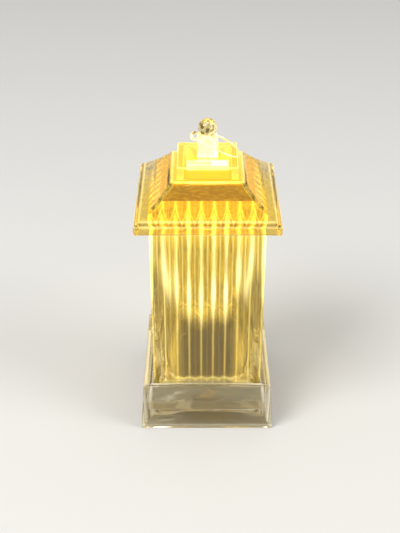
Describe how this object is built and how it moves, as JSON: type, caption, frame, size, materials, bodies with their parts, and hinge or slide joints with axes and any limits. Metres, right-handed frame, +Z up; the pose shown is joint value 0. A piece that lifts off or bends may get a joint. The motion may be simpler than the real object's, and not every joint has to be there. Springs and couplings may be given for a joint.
{
  "type": "battery lantern lamp",
  "caption": "Table lantern with a clear fluted square body on a low tray base, a lift-off pagoda roof holding a light module, and a ball finial with a hanging ring.",
  "frame": {"origin": "middle of the base's underside, on the surface that the lamp stands on", "axes": "+Z up to the finial, -Y towards the front with the switch slot, +X to the right seen from the front"},
  "size_m": [0.054, 0.054, 0.1249],
  "materials": {
    "clear_base": "clear moulded plastic, polished",
    "clear_body": "clear moulded plastic, polished, lit amber from above",
    "clear_roof": "clear moulded plastic, polished, lit amber from inside",
    "ring_wire": "bright nickel-plated wire",
    "module_plastic": "translucent white plastic, lit from inside",
    "switch_plastic": "moulded plastic",
    "switch_housing": "moulded plastic",
    "board": "green solder mask",
    "lamp_lens": "clear epoxy lens",
    "white_plastic": "white reflector plastic",
    "resistor_body": "lacquered ceramic with coloured bands",
    "steel": "plain steel",
    "nickel": "nickel plate",
    "red_insulation": "wire insulation",
    "black_insulation": "wire insulation"
  },
  "bodies": {
    "stand": {"base_tray": "clear_base", "fluted_body": "clear_body"},
    "top": {"roof_cover": "clear_roof", "finial": "clear_roof", "module_case": "module_plastic", "module_plate": "module_plastic", "door_hinge_pin": "steel", "case_screws": "steel", "circuit_board": "board", "lamp": "lamp_lens", "lamp_bezel": "white_plastic", "resistor": "resistor_body", "switch_body": "switch_housing", "button_cell_1": "nickel", "button_cell_2": "nickel", "button_cell_3": "nickel", "positive_contact": "nickel", "negative_contact": "nickel", "cell_spring": "nickel", "red_wire": "red_insulation", "black_wire": "black_insulation"},
    "ring": {"hanging_ring": "ring_wire"},
    "knob": {"switch_knob": "switch_plastic"},
    "door": {"battery_door": "module_plastic"}
  },
  "joints": [
    {"name": "roof_lift", "type": "slide", "parent": "stand", "child": "top", "axis": [0, 0, 1], "range_m": [0, 0.03]},
    {"name": "ring_swing", "type": "hinge", "parent": "top", "child": "ring", "pos_m": [0, 0, 0.1173], "axis": [0, -1, 0], "range_deg": [0, 236]},
    {"name": "switch_slide", "type": "slide", "parent": "top", "child": "knob", "axis": [-1, 0, 0], "range_m": [0, 0.0084]},
    {"name": "door_swing", "type": "hinge", "parent": "top", "child": "door", "pos_m": [0, 0.0123, 0.0891], "axis": [1, 0, 0], "range_deg": [0, 100]}
  ]
}
